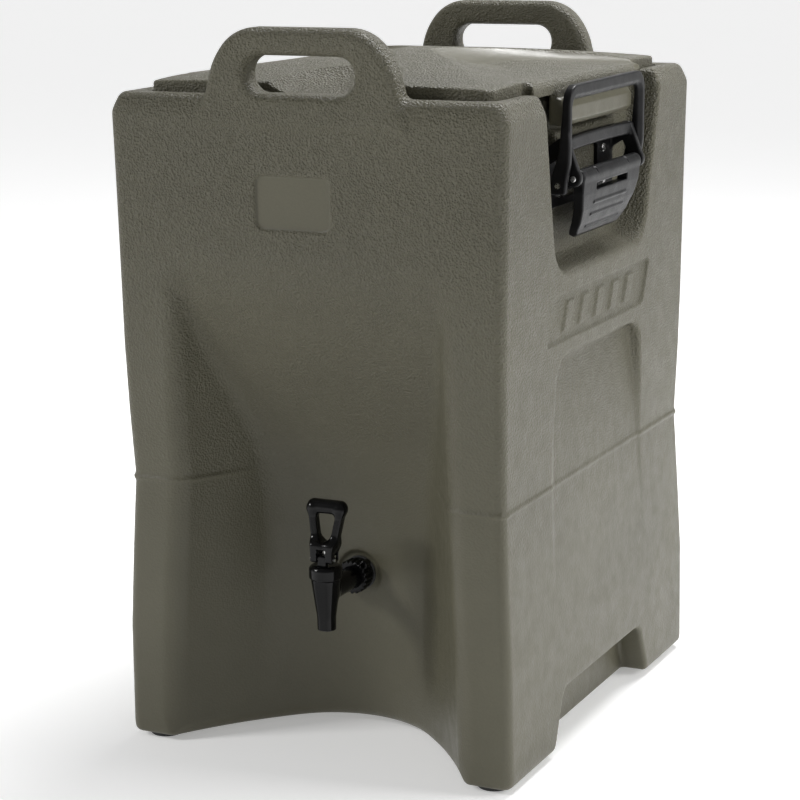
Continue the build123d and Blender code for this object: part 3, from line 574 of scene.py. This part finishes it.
def lid_top(x, y):
    """Height of the lid: a low dome, with a swept hollow on each side and a hand hollow at each grip."""
    side, along = np.abs(x), np.abs(y)
    reach = ((side / LID_HALF_W) ** 8 + (along / LID_HALF_D) ** 8 + 1e-9) ** 0.125
    dome = LID_EDGE_Z + LID_RISE * (1 - np.clip(reach, 0, 1.2) ** 1.5)
    # side hollow: a flat ramp down to the tab, inside a circle and behind a diagonal crease
    ramp = 669 + 0.045 * (192 - side) - 0.01 * (y + 40)
    inward, t = side_hollow(x, y)
    swept = ramp + np.maximum(dome - ramp, 0) * (1 - t) ** 2
    height = np.where(inward > 0, np.minimum(dome, swept), dome)
    # hand hollow: a bowl under each grip, with room for the fingers
    bowl = 50 - np.hypot(x, (along - 228) * np.where(along < 228, 0.5, 1))
    t = np.clip(bowl / 30, 0, 1)
    base = 659.5 + 0.1 * np.clip(LID_HALF_D - along, 0, 100)
    return np.where(bowl > 0, base + (height - base) * (1 - t) ** 2, height)


def lug_field(x, y, z):
    """The lug that hangs from each side of the lid, for the bail to hold."""
    hook = polygon(np.abs(x), z, [(186.5, 657), (186.5, 627.5), (197, 626.5), (200.3, 630), (200.3, 641),
                                  (195, 648), (190, 650), (190, 657)]) - 2.5
    return round_max(hook, np.abs(y) - 92, 4)


def lid_field(x, y, z):
    """The lid's outer moulding with its side tabs and lugs."""
    side = np.abs(x)
    plan = round_min(rounded_box(x, y, LID_HALF_W, LID_HALF_D, 9), rounded_box(x, y, 192, 147, 4), 2)
    nick = disc(side - 185.5, np.abs(y) - 149, 4.5)
    plan = cut(plan, nick, 1)
    edge = 2.6 + 5.5 * smooth_step(side, 181, 188)
    lid = round_max(plan, z - lid_top(x, y), edge)
    lid = round_max(lid, LID_BASE_Z - z, 1.5)
    return round_min(lid, lug_field(x, y, z), 2.5)


fine = 2.0
hook_steps = ((-205, -183, fine * 0.6), (183, 205, fine * 0.6))
lid = mesh_field("lid_moulding", lid_field, steps(-208, 208, fine, hook_steps), steps(-226, 226, fine),
                 steps(620, 692, fine, ((622, 690, fine * 0.6),)))
settle(lid, "lid", "lid_plastic", "lid_shell")


def lid_polish(x, y, z):
    """The swept walls on the rear half, and the hooks under the bails, come smooth from the mould."""
    inward, t = side_hollow(x, y)
    wall = smooth_step(inward, 0, 3) * smooth_step(t, 1, 0.85) * smooth_step(y, -75, 35) * (z > 662)
    hook = (np.abs(x) > 185) * (z < 652)
    return np.maximum(wall, hook)


polish(lid, lid_polish)


def lid_foam_field(x, y, z):
    """The foam under the lid's skin."""
    plan = rounded_box(x, y, LID_HALF_W - 5, LID_HALF_D - 5, 6)
    return np.maximum(np.maximum(plan, z - lid_top(x, y) + LID_SKIN), LID_BASE_Z + 1 - z)


filling = mesh_field("lid_foam_core", lid_foam_field,
                     steps(-180, 180, 6), steps(-220, 220, 6), steps(650, 690, 3))
settle(filling, "lid", "foam", "lid_foam")


# ---------------------------------------------------------------- latches
HINGE, LINK = (210.0, 574.0), (199.5, 568.5)
HINGE_BORE_R, LINK_BORE_R = 3.1, 2.6
LEVER_RIBS = ((213.2, 546.5), (209.7, 534.5), (204.2, 522.5))
lever_half = profile(((600, 80), (558, 79), (545, 74), (530, 66), (515, 60), (505, 59)), 9)
bail_inner = profile(((555, 191.5), (578, 192.5), (598, 200.0), (640, 203.9), (670, 203.9)), 7)
bail_outer = profile(((555, 206.5), (570, 208.0), (590, 211.8), (670, 212.4)), 7)


def lever_field(x, y, z):
    """The latch lever: a curved flap with a slot and ribs, on a grooved hinge barrel."""
    side = np.abs(y)
    flap = polygon(x, z, [(215.9, 574), (214.4, 556), (211.4, 541), (206, 527), (199.5, 515.5), (195, 512.8),
                          (193.3, 514.6), (199, 527), (204, 541), (206.6, 556), (207, 574)]) - 1.5
    flap = round_max(flap, side - lever_half(z), 1.6)
    flap = round_max(flap, round_max(side - lever_half(z), 510 - z, 15), 1.2)
    barrel = round_max(disc(x - HINGE[0], z - HINGE[1], 7.5), side - 80, 1.5)
    groove = np.maximum(np.abs(side - 43) - 0.9, 6.6 - np.hypot(x - HINGE[0], z - HINGE[1]))
    cheek = round_max(capsule(x, z, HINGE, LINK, 6.3), slab(side, 72, 80), 1.2)
    lever = round_min(round_min(flap, np.maximum(barrel, -groove), 2), cheek, 2)
    slot = np.maximum(rounded_box(y, z - 562, 43, 3.2, 1.5), -(x - 205))
    lever = cut(lever, slot, 0.9)
    for rib_x, rib_z in LEVER_RIBS:
        rib = round_max(disc(x - rib_x, z - rib_z, 1.9), side - 46, 1)
        lever = round_min(lever, rib, 0.4)
    return np.maximum(lever, HINGE_BORE_R - np.hypot(x - HINGE[0], z - HINGE[1]))


def bail_field(x, y, z):
    """The bail: a flat loop with a bevelled inner edge."""
    side = np.abs(y)
    outer = np.maximum(round_max(side - 105, z - 664, 20), 560 - z)
    inner = round_max(side - 94, z - 650, 9)
    face = np.maximum(outer, -inner)
    thick = slab(x, bail_inner(z), bail_outer(z))
    bevel = (x - bail_outer(z) + 3.4 - inner * 0.75) * 0.8
    bail = round_max(round_max(face, thick, 1.8), bevel, 0.8)
    return np.maximum(bail, LINK_BORE_R - np.hypot(x - LINK[0], z - LINK[1]))


def bracket_field(x, y, z):
    """The bracket: a plate with a window, two arms and a bowed cross bar."""
    side = np.abs(y)
    plate = round_max(rounded_box(y, z - 572, 91, 30, 6), slab(x, 178, 182.5), 1)
    plate = cut(plate, rounded_box(y, z - 572, 48, 22, 5), 1)
    arm = polygon(x, z, [(180, 586), (180, 599), (194, 609.5), (203, 609.5), (214.9, 577), (205, 577),
                         (196, 596)]) - 2
    arm = round_min(arm, disc(x - HINGE[0], z - HINGE[1], 8), 2)
    arm = round_max(arm, slab(side, 84, 91), 1.5)
    bow = 1.6 * np.clip(1 - (y / 90) ** 2, 0, 1)
    bar = round_max(rounded_box(x - 199.4, z - 605.5 - bow, 4.8, 6.6, 2.6), side - 88, 1)
    return round_min(round_min(plate, arm, 3), bar, 3)


def mirrored(piece, name):
    """The left-hand copy of a right-hand piece."""
    mesh = piece.data.copy()
    mesh.transform(Matrix.Scale(-1, 4, (1, 0, 0)))
    mesh.flip_normals()
    copy = bpy.data.objects.new(name, mesh)
    bpy.context.scene.collection.objects.link(copy)
    return copy


LATCH = (
    ("lever", lever_field, "lever", (188, 219), (-81, 81), (506, 583)),
    ("bail", bail_field, "bail", (188, 214), (-106.5, 106.5), (557, 666)),
    ("bracket", bracket_field, "tub", (176, 220), (-92.5, 92.5), (540, 616)),
)
grain = 1.0
for label, field, rides_on, x_span, y_span, z_span in LATCH:
    spans = [steps(low - 1, high + 1, grain) for low, high in (x_span, y_span, z_span)]
    right = mesh_field(f"right_{label}_moulding", field, *spans)
    left = mirrored(right, f"left_{label}_moulding")
    for side, piece in (("right", right), ("left", left)):
        body = rides_on if rides_on == "tub" else f"{side}_{rides_on}"
        settle(piece, body, "latch_plastic", f"{side}_latch_{label}")


# ---------------------------------------------------------------- faucet
SPOUT_Y = -218.0
HANDLE_PIN_Y, HANDLE_PIN_Z, HANDLE_BORE_R = SPOUT_Y - 5.5, 206.0, 1.6
HANDLE_LEAN = 6
BAR_Z, BAR_R = 256.5, 7
NUT_RIBS, WING_TURN = 20, radians(48)
NUT_BORE_R, STEM_BORE_R = 11.1, 3.1
spout_radius = profile(((130, 9.3), (145, 9.5), (182, 14.7), (190, 15)), 3)


def faucet_body_field(x, y, z):
    """The tapered spout, flat on its front, and the barrel that runs back to the nut."""
    radius = spout_radius(z)
    around = np.hypot(x, y - SPOUT_Y)
    cone = round_max(around - radius, np.maximum(z - 185, 132 - z), 1)
    cone = round_max(cone, SPOUT_Y - 0.9 * radius - y, 0.5)
    barrel = np.maximum(disc(x, z - SHANK_Z, 10.9), slab(y, SPOUT_Y, -156))
    return cut(round_min(cone, barrel, 4), np.maximum(around - 6.6, z - 150), 0.6)


def bonnet_field(x, y, z):
    """The round cap over the valve, with a tongue for the handle pin."""
    cap = round_max(disc(x, y - SPOUT_Y, 16.8), z - 199, 5)
    cap = round_max(cap, 185 - z, 2)
    tongue = round_max(rounded_box(y + 224.3, z - 202, 2.6, 7.4, 1.8), np.abs(x) - 4.5, 0.8)
    return np.maximum(round_min(cap, tongue, 1), STEM_BORE_R - np.hypot(x, y - SPOUT_Y))


def handle_field(x, y, z):
    """The tap handle: a slotted neck, two arms that spread and lean back, and a blank bar."""
    side = np.abs(x)
    pin = HANDLE_BORE_R - np.hypot(y - HANDLE_PIN_Y, z - HANDLE_PIN_Z)
    y = y - HANDLE_LEAN * np.clip((z - 215) / 42, 0, 1.3)
    neck = round_max(rounded_box(y - SPOUT_Y + 2.5, z - 212, 8.4, 10, 3), side - 12, 1.5)
    neck = round_max(neck, (200.5 - z) + np.maximum(HANDLE_PIN_Y - y, 0) * 0.6, 1)
    arm = capsule(side, z, (10.0, 222), (15.6, 253), 3.9)
    arms = round_max(arm, np.abs(y - SPOUT_Y) - 5, 2)
    bar = np.hypot(np.maximum(side - 14.5, 0), np.hypot(y - SPOUT_Y, z - BAR_Z)) - BAR_R
    handle = round_min(round_min(neck, arms, 9), bar, 5)
    slot = np.maximum(side - 5, z - 216)
    handle = cut(handle, slot, 0.7)
    window = rounded_box(y - SPOUT_Y - 0.6, z - 208.4, 3.6, 4, 1.5)
    handle = cut(handle, window, 0.5)
    return np.maximum(handle, pin)


def nut_field(x, y, z):
    """The ribbed coupling nut with its two looped wings."""
    up = z - SHANK_Z
    angle = np.arctan2(up, x)
    ribbed = np.hypot(x, up) - 16.7 - 0.8 * np.tanh(2.5 * np.cos(NUT_RIBS * angle))
    nut = round_max(ribbed, slab(y, -163, -149), 1.6)
    along = np.abs(x * cos(WING_TURN) + up * sin(WING_TURN))
    across = -x * sin(WING_TURN) + up * cos(WING_TURN)
    wing = capsule(along, across, (14, 0), (18.5, 0), 4.4)
    wing = round_max(wing, slab(y, -161, -151), 1.5)
    wing = cut(wing, np.maximum(disc(along - 18, across, 2.2), y + 156), 0.8)
    nut = round_min(nut, wing, 2)
    return np.maximum(nut, NUT_BORE_R - np.hypot(x, up))


FAUCET = (
    ("faucet_body", faucet_body_field, "tub", (-16, 16), (-236, -154), (130, 187), 0.8),
    ("faucet_bonnet", bonnet_field, "tub", (-18, 18), (-236, -200), (183, 212), 0.6),
    ("faucet_handle", handle_field, "faucet_handle", (-23, 23), (-232, -202), (197, 266), 0.7),
    ("faucet_coupling_nut", nut_field, "tub", (-25, 25), (-165, -147), (145, 195), 0.6),
)
for node, field, body, x_span, y_span, z_span, grain in FAUCET:
    grain = grain * 1
    spans = [steps(low - 1, high + 1, grain) for low, high in (x_span, y_span, z_span)]
    settle(mesh_field(f"{node}_moulding", field, *spans), body, "faucet_plastic", node)


# The visible CAD pieces that are left keep their meshes and get rounded edges.
SOFT_EDGE = 0.4 * MM
for node, piece in frame["nodes"].items():
    if not piece.hide_render and node not in ("foam_core", "lid_foam", "tank_liner"):
        bevel = piece.modifiers.new("soft_edges", "BEVEL")
        bevel.width = SOFT_EDGE
        bevel.segments = 2
        bevel.limit_method = "ANGLE"


# ---------------------------------------------------------------- stage and camera
def add_camera():
    """A viewpoint slightly above the lid, turned towards the right-hand side."""
    yaw, pitch, roll = radians(25.71), radians(12.59), radians(-0.72)
    ahead = Vector((-sin(yaw) * cos(pitch), cos(yaw) * cos(pitch), -sin(pitch)))
    level = Vector((cos(yaw), sin(yaw), 0))
    up = level.cross(ahead)
    right = cos(roll) * level + sin(roll) * up
    top = cos(roll) * up - sin(roll) * level
    turn = Matrix((right, top, -ahead)).transposed().to_4x4()
    camera = bpy.data.objects.new("camera", bpy.data.cameras.new("camera"))
    camera.data.lens = 105.6
    camera.data.sensor_width = 36
    camera.data.clip_end = 50
    camera.matrix_world = Matrix.Translation((1.0326, -2.1889, 0.8607)) @ turn
    bpy.context.scene.collection.objects.link(camera)
    bpy.context.scene.camera = camera


def soft_light(name, place, aim, size, power):
    """A white rectangular light at a place, turned to its aim."""
    light = bpy.data.objects.new(name, bpy.data.lights.new(name, "AREA"))
    light.data.shape = "RECTANGLE"
    light.data.size, light.data.size_y = size
    light.data.energy = power
    light.location = place
    light.rotation_euler = (Vector(aim) - Vector(place)).to_track_quat("-Z", "Y").to_euler()
    bpy.context.scene.collection.objects.link(light)


def add_floor():
    """A pale floor that glows a little more with distance, so that it runs into the background."""
    s = Shader("studio_floor")
    tone = s.colours(s.noise(3, 2), ((0.3, (0.86, 0.86, 0.86)), (0.7, (0.88, 0.88, 0.88))))
    x, y = s.part_of(s.place, 0), s.part_of(s.place, 1)
    away = s.maths("ADD", s.maths("MULTIPLY", x, x), s.maths("MULTIPLY", y, y))
    glow = s.spread(away, 0.3, 9.0, 0.3, 0.66)
    material = s.finish(Base_Color=tone, Roughness=0.6, Emission_Color=(1, 1, 1, 1), Emission_Strength=glow)
    bpy.ops.mesh.primitive_plane_add(size=30)
    floor = bpy.context.object
    floor.name = "studio_floor"
    floor.data.materials.append(material)


def add_world():
    """Soft white surroundings, bright at the horizon and dimmer above."""
    low, high, bright, dim = 0.09, 0.3, 0.95, 0.19
    world = bpy.data.worlds.new("studio")
    world.use_nodes = True
    tree = world.node_tree
    place = tree.nodes.new("ShaderNodeTexCoord")
    split = tree.nodes.new("ShaderNodeSeparateXYZ")
    strength = tree.nodes.new("ShaderNodeMapRange")
    for key, number in (("From Min", low), ("From Max", high), ("To Min", bright), ("To Max", dim)):
        strength.inputs[key].default_value = number
    tree.links.new(place.outputs["Generated"], split.inputs[0])
    tree.links.new(split.outputs["Z"], strength.inputs["Value"])
    background = tree.nodes["Background"]
    background.inputs["Color"].default_value = (1, 1, 1, 1)
    tree.links.new(strength.outputs["Result"], background.inputs["Strength"])
    bpy.context.scene.world = world


add_camera()
add_floor()
add_world()
bpy.context.scene.view_settings.view_transform = "Standard"
soft_light("key_left", (-2.2, -1.9, 1.9), (0, -0.1, 0.4), (0.7, 0.7), 46)
soft_light("fill_right", (2.8, 0.6, 1.6), (0.1, 0, 0.35), (1.0, 1.6), 50)
soft_light("top_back", (0.3, 1.3, 2.6), (0, 0, 0.5), (1.2, 1.2), 85)
